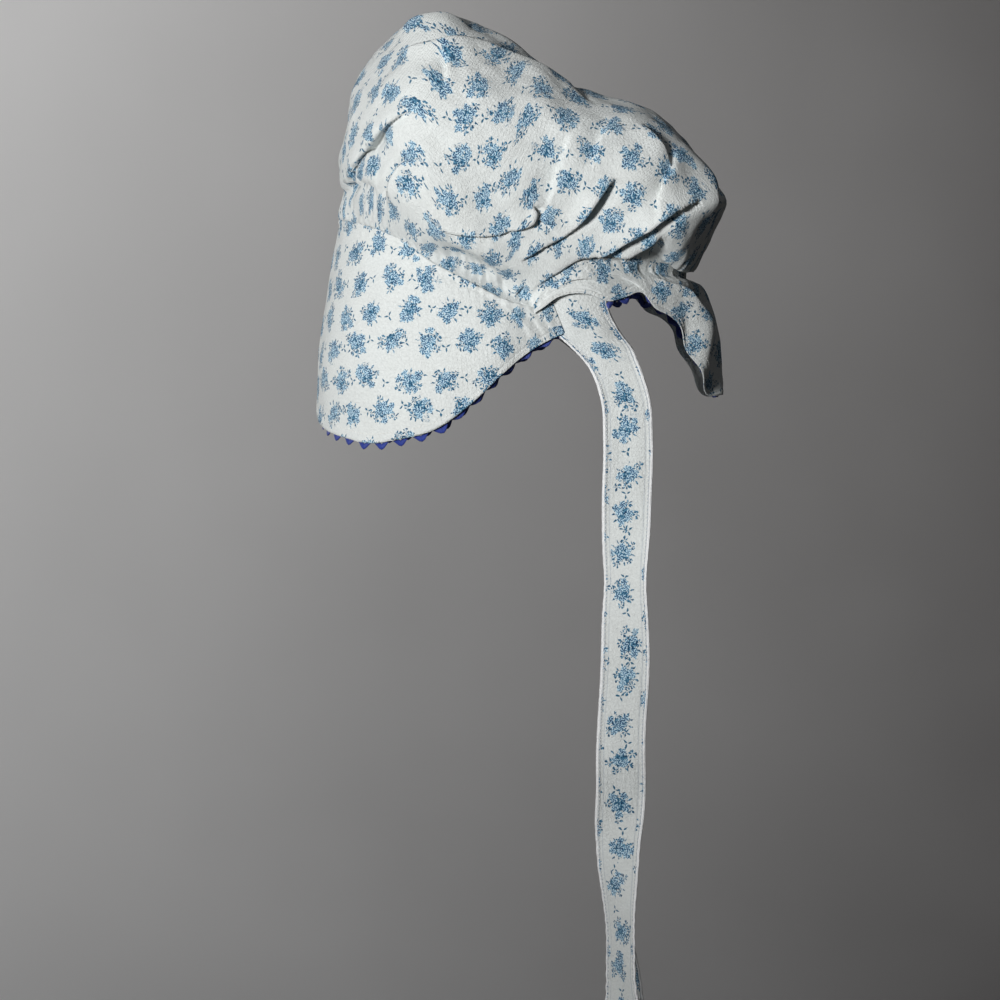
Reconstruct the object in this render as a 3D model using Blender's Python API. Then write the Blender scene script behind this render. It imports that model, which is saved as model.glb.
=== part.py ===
"""A printed cotton sunbonnet, held as it is when worn, with its two ties hanging.

The wearer faces -Y, and the wearer's left is +X. The origin is where the top of the
head would sit inside the crown. Every size below is in millimetres.
"""

import math

import bmesh
import bpy
import numpy as np

MM = 0.001

# Cloth walls and the gap at each sewn line.
CLOTH = 1.8
BRIM_CLOTH = 2.2
TIE_CLOTH = 1.2
BRAID_CLOTH = 1.2
SEAM_GAP = 0.5

# Faces across and along each piece.
CROWN_ACROSS, CROWN_ALONG = 44, 34
BRIM_ACROSS, BRIM_DOWN = 40, 6
CURTAIN_ROUND, CURTAIN_DOWN = 56, 5
TIE_LONG = 36

# The whole right side rides a little higher than the left.
FAR_LIFT = 8.0
FAR_LIFT_REACH = 100.0

# Roundness of the arches that cross the crown: 2 is an ellipse, more is squarer.
FULLNESS = 2.25
# Share of the crown's length in which it leaves the seam, and settles to the nape.
SEAM_BLEND = 0.10
NAPE_BLEND = 0.10

# Middle line of the crown, from the brim seam over the top to the nape: y, z.
CROWN_TOP_LINE = (
    (-131, -107),
    (-135, -98),
    (-128, -77),
    (-131, -64),
    (-127, -37),
    (-120, -7),
    (-101, 21),
    (-63, 46),
    (-38, 39),
    (10, 14),
    (36, -8),
    (56, -16),
    (85, -23),
    (104, -34),
    (120, -50),
    (132, -68),
    (144, -87),
    (148, -95),
    (144, -106),
    (134, -130),
    (121, -143),
)

# Left half of the seam between crown and brim, front to ear: x, y, z.
BRIM_SEAM = (
    (0, -131, -107),
    (30, -125, -110),
    (57, -111, -115),
    (82, -85, -127),
    (93, -62, -144),
    (99, -36, -158),
    (100, -8, -172),
    (99, 10, -177),
    (97, 27, -183),
)
# Share of that seam which the crown is sewn to; the ear corner stands free of it.
CROWN_SHARE_OF_SEAM = 0.91

# Left half of the brim's free edge, front to ear: x, y, z.
BRIM_EDGE = (
    (0, -149, -246),
    (25, -145, -255),
    (45, -138, -261),
    (64, -125, -266),
    (80, -108, -270),
    (93, -87, -268),
    (102, -60, -261),
    (105, -39, -247),
    (105, -12, -222),
    (102, 0, -211),
    (100, 15, -201),
    (97, 31, -193),
)
BRIM_SWELL = 4.0

# Left edge of the crown over the root of the tie, ear to nape: x, y, z.
EAR_EDGE = (
    (99, 10, -177),
    (102, 17, -164),
    (102.5, 26, -158),
    (101.5, 37, -150),
    (99, 48, -145),
    (93, 64, -141),
)

# Left half of the gathered line at the nape, ear to the middle of the back: x, y, z.
NAPE = (
    (93, 64, -141),
    (81, 84, -141.5),
    (60, 104, -142.5),
    (30, 118, -143),
    (0, 121, -143),
)

# Left half of the neck curtain's hem, ear to the middle of the back: x, y, z.
CURTAIN_HEM = (
    (103, 16, -176),
    (103, 25, -169),
    (102.5, 36, -166),
    (101, 50, -167),
    (98.5, 61, -171),
    (91, 73, -168),
    (83, 85, -164),
    (76, 96, -175),
    (67, 106, -180),
    (58, 115, -189),
    (47, 123, -207),
    (36, 130, -219),
    (18, 140, -233),
    (0, 146, -234),
)
CURTAIN_SWELL = 6.0

# Width of the crown by its place from seam (0) to nape (1): place, bulge, lean.
# bulge is how far its sides stand out, lean is how far its top is tipped to the right.
CROWN_SECTIONS = (
    (0.00, 0, 0),
    (0.05, 12, 0),
    (0.12, 24, 3),
    (0.25, 31, 12),
    (0.45, 34, 22),
    (0.60, 33, 17),
    (0.80, 27, 6),
    (0.93, 16, 0),
    (1.00, 0, 0),
)

# Folds of the crown's left side, seen from the left: the points it runs through as
# y, z, then how deep it is, how wide, and how much its upper lip stands out.
CROWN_FOLDS = (
    # start, middle, end, depth, width, lip
    ((4, -142), (38, -121), (60, -90), 10.0, 10.0, 5.0),
    ((20, -160), (62, -134), (128, -107), 11.0, 10.0, 5.0),
    ((104, -73), (98, -88), (94, -101), 5.0, 11.0, 2.0),
    ((-42, -125), (-25, -127), (-6, -128), 6.0, 12.0, 6.0),
    ((-98, -48), (-110, -57), (-118, -70), 7.0, 11.0, 3.0),
    ((-90, 22), (-70, 26), (-46, 12), 5.0, 11.0, 2.0),
    ((-56, 16), (-14, 4), (30, -14), 5.0, 12.0, 3.0),
)
FOLD_STEPS = 12
FAR_FOLD_SHARE = 0.6

# Gathers: how many ripples across the crown, how deep, and how far from each seam.
GATHERS_ACROSS = 15
GATHER_DEPTH = 3.0
GATHER_REACH = 0.16

# Flutes of the neck curtain, and how tall it is where they begin and where they are full.
FLUTES_ROUND = 9
FLUTE_DEPTH = 4.5
CURTAIN_PLAIN = 28.0
CURTAIN_FULL = 40.0

# Wavy braid: length of one wave, how far the wave swings, its width, and how far the
# middle of the wave hangs below the cloth's edge.
BRAID_PITCH = 16.0
BRAID_SWING = 2.6
BRAID_WIDTH = 4.2
BRAID_DROP = 0.4
BRAID_GAP = 0.7
BRAID_POINTS_PER_WAVE = 4
CURTAIN_BRAID_FROM = 0.30

# Ties, a row for each section: z, y of its middle, level width, turn in degrees.
TIE_SECTIONS = (
    (-166, 40, 38, -5),
    (-178, 43, 40, -5),
    (-193, 51, 40, -3),
    (-213, 63, 38, 0),
    (-239, 73, 35, 0),
    (-267, 75, 35, 0),
    (-313, 74, 35, 8),
    (-366, 73, 35, 32),
    (-425, 73, 35, 12),
    (-481, 70, 35, 12),
    (-514, 70, 35, 0),
    (-551, 68, 35, 28),
    (-600, 69, 35, 52),
    (-640, 70, 35, 58),
    (-700, 73, 35, 34),
)
TIE_OUT = 97.2
TIE_FLARE = 4.0
FAR_TIE_BACK = 7.0


def reader(at, values):
    """A smooth curve through values, read by its parameter."""
    at = np.asarray(at, float)
    values = np.asarray(values, float)
    slopes = np.gradient(values, at, axis=0)

    def read(place):
        place = np.clip(np.asarray(place, float), at[0], at[-1])
        left = np.clip(np.searchsorted(at, place, side="right") - 1, 0, len(at) - 2)
        span = at[left + 1] - at[left]
        share = (place - at[left]) / span
        if values.ndim > 1:
            share, span = share[..., None], span[..., None]
        square, cube = share**2, share**3
        return (
            (2 * cube - 3 * square + 1) * values[left]
            + (cube - 2 * square + share) * span * slopes[left]
            + (3 * square - 2 * cube) * values[left + 1]
            + (cube - square) * span * slopes[left + 1]
        )

    return read


def along(points):
    """A smooth curve through points, read from 0 at its first to 1 at its last."""
    points = np.asarray(points, float)
    steps = np.linalg.norm(np.diff(points, axis=0), axis=1)
    return reader(np.concatenate([[0], np.cumsum(steps)]) / steps.sum(), points)


def columns(rows):
    """One reader for each column of a table whose first column is the parameter."""
    rows = np.asarray(rows, float)
    return [reader(rows[:, 0], rows[:, column]) for column in range(1, rows.shape[1])]


def ease(share):
    """Rises smoothly from 0 to 1."""
    share = np.clip(share, 0, 1)
    return share * share * (3 - 2 * share)


def mirrored(points, side):
    """Left-half points, put on the side that the sign of side says."""
    points = np.array(points)
    points[..., 0] *= np.where(np.asarray(side) < 0, -1.0, 1.0)
    return points


def lifted(points):
    """The right side rides higher than the left."""
    points = np.array(points)
    points[..., 2] += FAR_LIFT * ease(-points[..., 0] / FAR_LIFT_REACH)
    return points


def normals(points):
    """Unit normals of a grid; they point out where its rows run front to back or down the back."""
    down = np.gradient(points, axis=0)
    across = np.gradient(points, axis=1)
    normal = np.cross(across, down)
    return normal / np.maximum(np.linalg.norm(normal, axis=-1, keepdims=True), 1e-9)


def grid(rows, cols):
    """Parameters of a grid: 0 to 1 down its rows, and -1 to 1 across its columns."""
    return np.meshgrid(np.linspace(0, 1, rows + 1), np.linspace(-1, 1, cols + 1), indexing="ij")


def fold_push(points, folds):
    """How far each point is pushed in by the folds, from its place in the side view."""
    push = np.zeros(points.shape[:2])
    flat = points[..., 1:]
    for start, middle, end, depth, width, lip in folds:
        path = along((start, middle, end))(np.linspace(0, 1, FOLD_STEPS))
        offset = flat[..., None, :] - path
        distance = np.linalg.norm(offset, axis=-1)
        nearest = distance.argmin(axis=-1)
        away = np.take_along_axis(distance, nearest[..., None], -1)[..., 0]
        above = np.take_along_axis(offset[..., 1], nearest[..., None], -1)[..., 0]
        fade = np.sin(math.pi * (nearest + 0.5) / FOLD_STEPS) ** 0.5
        push += fade * depth * np.exp(-((away / width) ** 2))
        lip_at = np.exp(-(((away - 1.6 * width) / width) ** 2))
        push -= fade * lip * lip_at * (above > 0)
    return push


CROWN_LINE = along(CROWN_TOP_LINE)
SEAM_LINE = along(BRIM_SEAM)
EDGE_LINE = along(BRIM_EDGE)
EAR_LINE = along(EAR_EDGE)
NAPE_LINE = along(NAPE)
HEM_LINE = along(CURTAIN_HEM)
CROWN_BULGE, CROWN_LEAN = columns(CROWN_SECTIONS)


def crown_points():
    """The crown's outer face: arches from ear to ear, one after another, seam to nape."""
    place, side = grid(CROWN_ALONG, CROWN_ACROSS)
    reach = np.abs(side)
    angle = (1 - reach) * math.pi / 2
    power = 2 / FULLNESS
    rise = np.sin(angle) ** power
    ear = EAR_LINE(place)
    top = CROWN_LINE(place)
    half = ear[..., 0] * np.cos(angle) ** power + CROWN_BULGE(place) * np.sin(2 * angle)
    arch = np.empty(place.shape + (3,))
    arch[..., 0] = half * np.sign(side + 1e-9) - CROWN_LEAN(place) * rise**2
    arch[..., 1:] = ear[..., 1:] + (top - ear[..., 1:]) * rise[..., None]
    seam = mirrored(SEAM_LINE(reach * CROWN_SHARE_OF_SEAM), side)
    nape = mirrored(NAPE_LINE(1 - reach), side)
    from_seam = ease(place / SEAM_BLEND)[..., None]
    to_nape = ease((1 - place) / NAPE_BLEND)[..., None]
    points = seam + (arch - seam) * from_seam
    points = nape + (points - nape) * to_nape
    return lifted(points + normals(points) * crown_relief(points, place, side)[..., None])


def crown_relief(points, place, side):
    """Gathers near both seams and folds on the sides, as a height along the normal."""
    near_seam = np.exp(-((place / GATHER_REACH) ** 2)) + np.exp(-(((1 - place) / GATHER_REACH) ** 2))
    gathers = GATHER_DEPTH * near_seam * np.cos(math.pi * GATHERS_ACROSS * side)
    share = np.where(side > 0, 1.0, FAR_FOLD_SHARE)
    relief = gathers - share * fold_push(points, CROWN_FOLDS)
    border = np.minimum(np.minimum(place, 1 - place) * CROWN_ALONG, (1 - np.abs(side)) * CROWN_ACROSS / 2)
    return relief * ease(border / 2.0)


def brim_points():
    """The brim's outer face, from the seam to its free edge."""
    down, side = grid(BRIM_DOWN, BRIM_ACROSS)
    reach = np.abs(side)
    top = mirrored(SEAM_LINE(reach), side)
    edge = mirrored(EDGE_LINE(reach), side)
    length = np.linalg.norm(edge - top, axis=-1, keepdims=True)
    top = top + (edge - top) * SEAM_GAP / length
    points = top + (edge - top) * down[..., None]
    swell = BRIM_SWELL * np.sin(math.pi * down) * (1 - reach**4)
    return lifted(points - normals(points) * swell[..., None])


def curtain_points():
    """The neck curtain's outer face, gathered at the nape and fluted at its hem."""
    down, side = grid(CURTAIN_DOWN, CURTAIN_ROUND)
    reach = np.abs(side)
    whole = along(EAR_EDGE[1:] + NAPE[1:])
    top = mirrored(whole(1 - reach), side)
    hem = mirrored(HEM_LINE(1 - reach), side)
    length = np.linalg.norm(hem - top, axis=-1, keepdims=True)
    top = top + (hem - top) * SEAM_GAP / length
    points = top + (hem - top) * down[..., None]
    tall = ease((length[..., 0] - CURTAIN_PLAIN) / CURTAIN_FULL)
    swell = CURTAIN_SWELL * tall * np.sin(math.pi * down**0.6)
    flutes = FLUTE_DEPTH * tall * ease(down) * np.cos(math.pi * FLUTES_ROUND * side)
    return lifted(points + normals(points) * (swell + flutes)[..., None])


def new_object(name, bm, colour, roughness):
    """Closes a mesh as one named object with its own plain material."""
    mesh = bpy.data.meshes.new(name)
    bm.to_mesh(mesh)
    bm.free()
    mesh.shade_smooth()
    material = bpy.data.materials.new(name)
    material.use_nodes = True
    shader = material.node_tree.nodes["Principled BSDF"]
    shader.inputs["Base Color"].default_value = (*colour, 1)
    shader.inputs["Roughness"].default_value = roughness
    mesh.materials.append(material)
    thing = bpy.data.objects.new(name, mesh)
    bpy.context.scene.collection.objects.link(thing)
    return thing


def cloth_sheet(name, points, wall, colour, outward):
    """A grid of points as a sheet of cloth, thickened on its inner side."""
    rows, cols = points.shape[0] - 1, points.shape[1] - 1
    bm = bmesh.new()
    bmesh.ops.create_grid(bm, x_segments=cols, y_segments=rows, size=0.5)
    for vert in bm.verts:
        row, col = round((vert.co.y + 0.5) * rows), round((vert.co.x + 0.5) * cols)
        vert.co = points[row, col] * MM
    if not outward:
        bmesh.ops.reverse_faces(bm, faces=bm.faces)
    sheet = new_object(name, bm, colour, 0.85)
    wall_maker = sheet.modifiers.new("wall", "SOLIDIFY")
    wall_maker.thickness = wall * MM
    wall_maker.offset = -1
    return sheet


def ribbon(name, centres, across, out, widths, wall, colour):
    """A flat ribbon with square edges along centres: a box section at each of them."""
    corners = ((-1, -1), (1, -1), (1, 1), (-1, 1))
    bm = bmesh.new()
    rings = []
    for centre, sideways, facing, width in zip(centres, across, out, widths):
        ring = [
            bm.verts.new((centre + sideways * width * a / 2 + facing * wall * b / 2) * MM)
            for a, b in corners
        ]
        rings.append(ring)
    for one, two in zip(rings, rings[1:]):
        for k in range(4):
            bm.faces.new((one[k], one[(k + 1) % 4], two[(k + 1) % 4], two[k]))
    bm.faces.new(rings[0][::-1])
    bm.faces.new(rings[-1])
    bmesh.ops.recalc_face_normals(bm, faces=bm.faces)
    bmesh.ops.triangulate(bm, faces=bm.faces)
    return new_object(name, bm, colour, 0.6)


def braid(name, sheet, out, first, last):
    """The wavy braid behind a sheet's lowest row, from column share first to last."""
    edge = along(sheet[-1])
    above = along(sheet[-2])
    facing = along(sheet[-1] + out[-1])
    steps = np.linalg.norm(np.diff(sheet[-1], axis=0), axis=1).sum() * (last - first)
    waves = round(steps / BRAID_PITCH)
    share = np.linspace(first, last, waves * BRAID_POINTS_PER_WAVE + 1)
    base = edge(share)
    below = base - above(share)
    below /= np.linalg.norm(below, axis=-1, keepdims=True)
    outward = facing(share) - base
    outward -= below * (outward * below).sum(-1, keepdims=True)
    outward /= np.linalg.norm(outward, axis=-1, keepdims=True)
    swing = np.cos(2 * math.pi * waves * (share - first) / (last - first))
    wall = BRIM_CLOTH if name == "brim_rickrack" else CLOTH
    inset = wall + BRAID_GAP + BRAID_CLOTH / 2
    centres = base + below * (BRAID_DROP + BRAID_SWING * swing)[:, None] - outward * inset
    widths = np.full(len(share), BRAID_WIDTH)
    return ribbon(name, centres, below, outward, widths, BRAID_CLOTH, (0.02, 0.04, 0.26))


def tie(name, side, back):
    """A flat tie hanging from under the end of the neck curtain."""
    middle, width, turn = columns([(-row[0], *row[1:]) for row in TIE_SECTIONS])
    drop = np.linspace(-TIE_SECTIONS[0][0], -TIE_SECTIONS[-1][0], TIE_LONG + 1)
    hang = ease((drop - drop[0]) / (drop[-1] - drop[0]) * 4)
    lift = FAR_LIFT if side < 0 else 0.0
    centres = np.stack([TIE_OUT + TIE_FLARE * hang, middle(drop) + back * hang, lift - drop], -1)
    angle = np.radians(turn(drop))
    across = np.stack([np.sin(angle), np.cos(angle), np.zeros_like(angle)], -1)
    facing = np.cross(np.gradient(centres, axis=0), across)
    facing /= -np.linalg.norm(facing, axis=-1, keepdims=True)
    for vectors in (centres, across, facing):
        vectors[:, 0] *= side
    return ribbon(name, centres, across, facing, width(drop), TIE_CLOTH, (0.70, 0.70, 0.68))


def build():
    for thing in list(bpy.data.objects):
        bpy.data.objects.remove(thing, do_unlink=True)
    cotton = (0.72, 0.72, 0.70)
    crown = crown_points()
    brim = brim_points()
    curtain = curtain_points()
    cloth_sheet("crown", crown, CLOTH, cotton, True)
    cloth_sheet("brim", brim, BRIM_CLOTH, cotton, False)
    cloth_sheet("neck_curtain", curtain, CLOTH, cotton, True)
    braid("brim_rickrack", brim, -normals(brim), 0.0, 1.0)
    ends = CURTAIN_BRAID_FROM / 2
    braid("curtain_rickrack", curtain, normals(curtain), ends, 1 - ends)
    tie("tie_left", 1, 0.0)
    tie("tie_right", -1, FAR_TIE_BACK)


build()
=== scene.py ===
# %% [markdown]
# # A printed cotton sunbonnet, as it sits when worn
#
# A sunbonnet is made from a few flat cuts of washed cotton. A wide piece is gathered into a
# puffed crown, a stiffened piece curves round the face as the brim, a short gathered curtain
# covers the nape, and two long ties hang from under its ends. A wavy braid, called rickrack,
# is sewn behind the free edges. Each of these is built here as its own sheet of cloth, on the
# same named curves as the plain solids, with far more folds than a solid needs.

import math

import bmesh
import bpy
import numpy as np
from mathutils import Matrix, Vector, noise


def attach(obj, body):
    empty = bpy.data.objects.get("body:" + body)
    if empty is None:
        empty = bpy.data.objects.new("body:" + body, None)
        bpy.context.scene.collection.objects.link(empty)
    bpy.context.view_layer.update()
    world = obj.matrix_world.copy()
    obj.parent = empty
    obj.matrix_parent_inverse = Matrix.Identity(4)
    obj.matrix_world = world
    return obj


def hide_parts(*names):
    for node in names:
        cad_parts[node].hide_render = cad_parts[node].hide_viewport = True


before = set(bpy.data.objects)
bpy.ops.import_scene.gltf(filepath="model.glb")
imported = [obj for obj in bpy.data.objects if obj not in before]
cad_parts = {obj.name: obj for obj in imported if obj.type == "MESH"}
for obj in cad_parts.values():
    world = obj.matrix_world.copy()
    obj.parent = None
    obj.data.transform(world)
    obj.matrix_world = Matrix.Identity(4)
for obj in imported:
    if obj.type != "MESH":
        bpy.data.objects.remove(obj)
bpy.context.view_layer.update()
MM = 0.001
print("solids:", sorted(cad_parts))

# %% [markdown]
# ## Camera
#
# The photograph looks level at the wearer's left side from about two and a half metres, so
# the camera stands on +X. A frame 730 mm high at the middle plane sets the lens.

# %% Camera
CAMERA_FROM = 2.4
FRAME_HEIGHT = 0.73
view = bpy.data.cameras.new("side_view")
view.lens = 36 * CAMERA_FROM / FRAME_HEIGHT
camera = bpy.data.objects.new("side_view", view)
camera.location = (CAMERA_FROM, -0.0146, -0.31025)
camera.rotation_euler = (math.radians(90), 0, math.radians(90))
bpy.context.scene.collection.objects.link(camera)
bpy.context.scene.camera = camera
bpy.context.scene.view_settings.view_transform = "Standard"
print("lens", round(view.lens, 1))

# %% [markdown]
# ## Light
#
# The light is that of a room by a window. The main source stands level with the bonnet, beside
# the camera on the brim's side, and its narrow beam fades towards the top and the lower ties.
# A weak one lights the front, another the wall behind, and a weak even grey comes from all
# round. The lamps are discs, because a disc's edge of shadow is as soft as a window's.


# %% Light
def soft_light(name, place, aim, size, watts, beam):
    """An area light at place, turned towards aim; it fades towards the sides of its beam, in degrees."""
    lamp = bpy.data.lights.new(name, "AREA")
    lamp.shape = "DISK"
    lamp.size = size
    lamp.energy = watts
    lamp.spread = math.radians(beam)
    thing = bpy.data.objects.new(name, lamp)
    thing.visible_camera = False
    thing.location = place
    thing.rotation_euler = (Vector(aim) - Vector(place)).to_track_quat("-Z", "Y").to_euler()
    bpy.context.scene.collection.objects.link(thing)


soft_light("window", (2.15, -1.08, -0.02), (0.05, 0, -0.10), 0.5, 3.4, 41)
soft_light("front", (0.4, -2.6, 0.7), (0, 0, -0.2), 1.6, 3.7, 142)
soft_light("wall", (-1.0, -1.2, 1.2), (-6.2, -1.2, 1.6), 1.4, 36, 100)
world = bpy.data.worlds.new("even_grey")
world.use_nodes = True
world.node_tree.nodes["Background"].inputs["Color"].default_value = (0.80, 0.83, 0.87, 1)
world.node_tree.nodes["Background"].inputs["Strength"].default_value = 0.13
bpy.context.scene.world = world

# %% [markdown]
# ## A helper for materials
#
# Every finish below is a network of nodes, so one function adds a node. Its first word is
# the kind of node and a second word its operation. Plain values fill the sockets in order,
# names fill the sockets or settings of that name, and another node is linked in.


# %% Nodes and colours
def linear(code):
    """The linear colour of an sRGB hex code."""
    parts = [int(code[i : i + 2], 16) / 255 for i in (1, 3, 5)]
    return tuple(c / 12.92 if c <= 0.04045 else ((c + 0.055) / 1.055) ** 2.4 for c in parts) + (1.0,)


def add(tree, what, *values, **named):
    """Adds a node to a material, with its settings and links."""
    kind, _, operation = what.partition(" ")
    node = tree.nodes.new("ShaderNode" + kind)
    if operation:
        node.operation = operation
    settings = {name: value for name, value in named.items() if hasattr(node, name)}
    for name, value in settings.items():
        setattr(node, name, value)
    sockets = [(name.replace("_", " "), value) for name, value in named.items() if name not in settings]
    for socket, value in list(enumerate(values)) + sockets:
        if isinstance(value, bpy.types.Node):
            value = next(output for output in value.outputs if output.enabled)
        if isinstance(value, bpy.types.NodeSocket):
            tree.links.new(value, node.inputs[socket])
        elif value is not None:
            node.inputs[socket].default_value = value
    return node


def new_material(name):
    """A material with only its shader; returns it, its tree and the shader."""
    material = bpy.data.materials.new(name)
    material.use_nodes = True
    return material, material.node_tree, material.node_tree.nodes["Principled BSDF"]


# %% [markdown]
# ## The printed cotton
#
# The cloth is a washed, slightly crinkled plain-weave cotton, off-white, printed all over
# with small round bouquets about 18 mm across. They stand in rows 23.5 mm apart, 29 mm from
# each other, each row is shifted by half, and every one is turned and moved a little at
# random. A three-leaved sprig sits between neighbours. The pattern is worked out from a map
# of the flat cloth in millimetres, so it bends with every fold and is lost inside it, as
# print is. The inks run from pale blue to navy, on a ground that is hardly tinted.

# %% Print colours and sizes
COTTON = {
    "ground": "#E2E7E6",
    "ground_shade": "#DCDFDC",
    "petal_light": "#C4DEEA",
    "petal": "#6CA2C2",
    "petal_dark": "#204C7C",
    "heart": "#182E50",
    "leaf": "#2C6684",
    "leaf_dark": "#193859",
    "thread": "#F5F6F6",
}
# From row to row, from bouquet to bouquet in a row, and from rose to rose in a bouquet.
ROW, STEP = 23.5, 29.0
ROSE = 5.3
# How far apart the place of a sprig and of a bouquet may fall from cell to cell.
SPRIG_LOOSE, BOUQUET_LOOSE = 9.0, 7.0


# %% One cell of the repeat
def print_cell(tree, cloth, shift, loose):
    """Where a point lies in its cell of the repeat, and that cell's number.

    Every cell is turned at random, and moved by up to half of loose in millimetres.
    """
    split = add(tree, "SeparateXYZ", cloth)
    row = add(tree, "Math ROUND", add(tree, "Math DIVIDE", split.outputs["Y"], ROW))
    odd = add(tree, "Math FLOORED_MODULO", row, 2.0)
    across = add(tree, "Math MULTIPLY_ADD", odd, STEP / 2, split.outputs["X"])
    across = add(tree, "Math ADD", across, shift)
    column = add(tree, "Math ROUND", add(tree, "Math DIVIDE", across, STEP))
    x = add(tree, "Math MULTIPLY_ADD", column, -STEP, across)
    y = add(tree, "Math MULTIPLY_ADD", row, -ROW, split.outputs["Y"])
    number = add(tree, "CombineXYZ", column, row, shift)
    chance = add(tree, "TexWhiteNoise", number)
    local = add(tree, "CombineXYZ", x, y, 0.0)
    moved = add(tree, "VectorMath MULTIPLY_ADD", chance.outputs["Color"], (-loose, -loose, 0), local)
    moved = add(tree, "VectorMath ADD", moved, (loose / 2, loose / 2, 0))
    turn = add(tree, "Math MULTIPLY", chance.outputs["Value"], 2 * math.pi)
    turned = add(tree, "VectorRotate", moved, rotation_type="Z_AXIS", Angle=turn)
    return turned, number


def polar(tree, point):
    """Distance and angle of a point from the origin of its cell."""
    split = add(tree, "SeparateXYZ", point)
    far = add(tree, "VectorMath LENGTH", point)
    angle = add(tree, "Math ARCTAN2", split.outputs["Y"], split.outputs["X"])
    return far.outputs["Value"], angle


def under(tree, value, limit, soft):
    """One where value is under limit, falling to nothing over a soft edge."""
    return add(
        tree, "MapRange", value, From_Min=add(tree, "Math SUBTRACT", limit, soft),
        From_Max=add(tree, "Math ADD", limit, soft), To_Min=1.0, To_Max=0.0,
    )


# %% [markdown]
# ## Bouquets
#
# Every motif is drawn with strokes, as by an engraver. One leaf is an oval with its ends
# drawn to points, and folding the angle round a middle makes a ring of them. The cells of a
# Voronoi pattern give each bouquet a handful of small roses. A rose has a scalloped edge,
# and light and dark petals turn round its dark heart. Behind each rose is a tuft of leaves,
# a bed of leaves fills the middle, and part of the outline gets a rim of them.


# %% Leaves
def leaves(tree, point, count, middle, long, wide):
    """A ring of pointed leaves; middle, long and wide are a leaf's distance, half length and half width."""
    far, angle = polar(tree, point)
    wedge = 2 * math.pi / count
    turned = add(tree, "Math FLOORED_MODULO", angle, wedge)
    turned = add(tree, "Math SUBTRACT", turned, wedge / 2)
    along_leaf = add(tree, "Math MULTIPLY", far, add(tree, "Math COSINE", turned))
    across_leaf = add(tree, "Math MULTIPLY", far, add(tree, "Math SINE", turned))
    x = add(tree, "Math DIVIDE", add(tree, "Math SUBTRACT", along_leaf, middle), long)
    y = add(tree, "Math DIVIDE", across_leaf, wide)
    pointed = add(tree, "Math MULTIPLY_ADD", add(tree, "Math ABSOLUTE", x), y, y)
    flat = add(tree, "CombineXYZ", x, pointed, 0.0)
    return under(tree, add(tree, "VectorMath LENGTH", flat).outputs["Value"], 0.85, 0.15)


def bouquet_leaves(tree, flat, spray_at, on_rose, far_out, kind):
    """Where a bouquet has leaves, and their colour: tufts behind the roses, a bed and part of a rim."""
    turn = add(tree, "Math MULTIPLY", kind.outputs["Green"], 6.0)
    turned = add(tree, "VectorRotate", on_rose, rotation_type="Z_AXIS", Angle=turn)
    short, long = leaves(tree, turned, 5, 1.9, 1.8, 0.7), leaves(tree, turned, 3, 2.5, 1.7, 0.9)
    tuft = add(tree, "Math MAXIMUM", short, long)
    ragged = add(tree, "Math MULTIPLY_ADD", kind.outputs["Blue"], 2.4, far_out)
    tuft = add(tree, "Math MULTIPLY", tuft, under(tree, ragged, 10.3, 0.1))
    bed = add(tree, "Math MULTIPLY_ADD", add(tree, "TexNoise", flat, Scale=0.6, Detail=2.0), 9.0, 0.6)
    bed = under(tree, add(tree, "VectorMath LENGTH", spray_at).outputs["Value"], bed, 0.3)
    some = under(tree, add(tree, "TexNoise", flat, Scale=0.17), 0.52, 0.02)
    rim = add(tree, "Math MULTIPLY", leaves(tree, spray_at, 11, 8.0, 2.3, 0.85), some)
    tuft = add(tree, "Math MAXIMUM", add(tree, "Math MAXIMUM", tuft, bed), rim)
    shades = add(tree, "ValToRGB", add(tree, "TexNoise", flat, Scale=0.7, Detail=2.0, Roughness=0.7))
    ramp = shades.color_ramp
    ramp.elements[0].position, ramp.elements[0].color = 0.38, linear(COTTON["leaf_dark"])
    ramp.elements[1].position, ramp.elements[1].color = 0.66, linear(COTTON["ground"])
    for place, shade in ((0.49, "leaf"), (0.58, "petal")):
        ramp.elements.new(place).color = linear(COTTON[shade])
    return tuft, shades


# %% Roses
def roses(tree, on_rose, far_out, kind):
    """Where a bouquet has roses, and the colour of their petals, which turn round a dark heart."""
    far, angle = polar(tree, on_rose)
    scallop = add(tree, "Math SINE", add(tree, "Math MULTIPLY", angle, 5.0))
    edge = add(tree, "Math MULTIPLY_ADD", scallop, 0.45, 2.3)
    ragged = add(tree, "Math MULTIPLY_ADD", kind.outputs["Red"], 2.6, far_out)
    rose = add(tree, "Math MULTIPLY", under(tree, far, edge, 0.2), under(tree, ragged, 8.8, 0.1))
    swirl = add(tree, "Math MULTIPLY_ADD", far, 2 * math.pi / 2.4, add(tree, "Math MULTIPLY", angle, 5.0))
    swirl = add(tree, "Math SINE", swirl)
    tone = add(tree, "Math MULTIPLY_ADD", swirl, 0.42, 0.46)
    tone = add(tree, "Math MULTIPLY_ADD", kind.outputs["Green"], 0.34, tone)
    tone = add(tree, "Math MULTIPLY_ADD", under(tree, far, 0.6, 0.2), -0.4, tone)
    petals = add(tree, "ValToRGB", tone)
    ramp = petals.color_ramp
    ramp.elements[0].position, ramp.elements[0].color = 0.10, linear(COTTON["heart"])
    ramp.elements[1].position, ramp.elements[1].color = 0.88, linear(COTTON["petal_light"])
    for place, shade in ((0.34, "petal_dark"), (0.58, "petal")):
        ramp.elements.new(place).color = linear(COTTON[shade])
    return rose, petals


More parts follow.
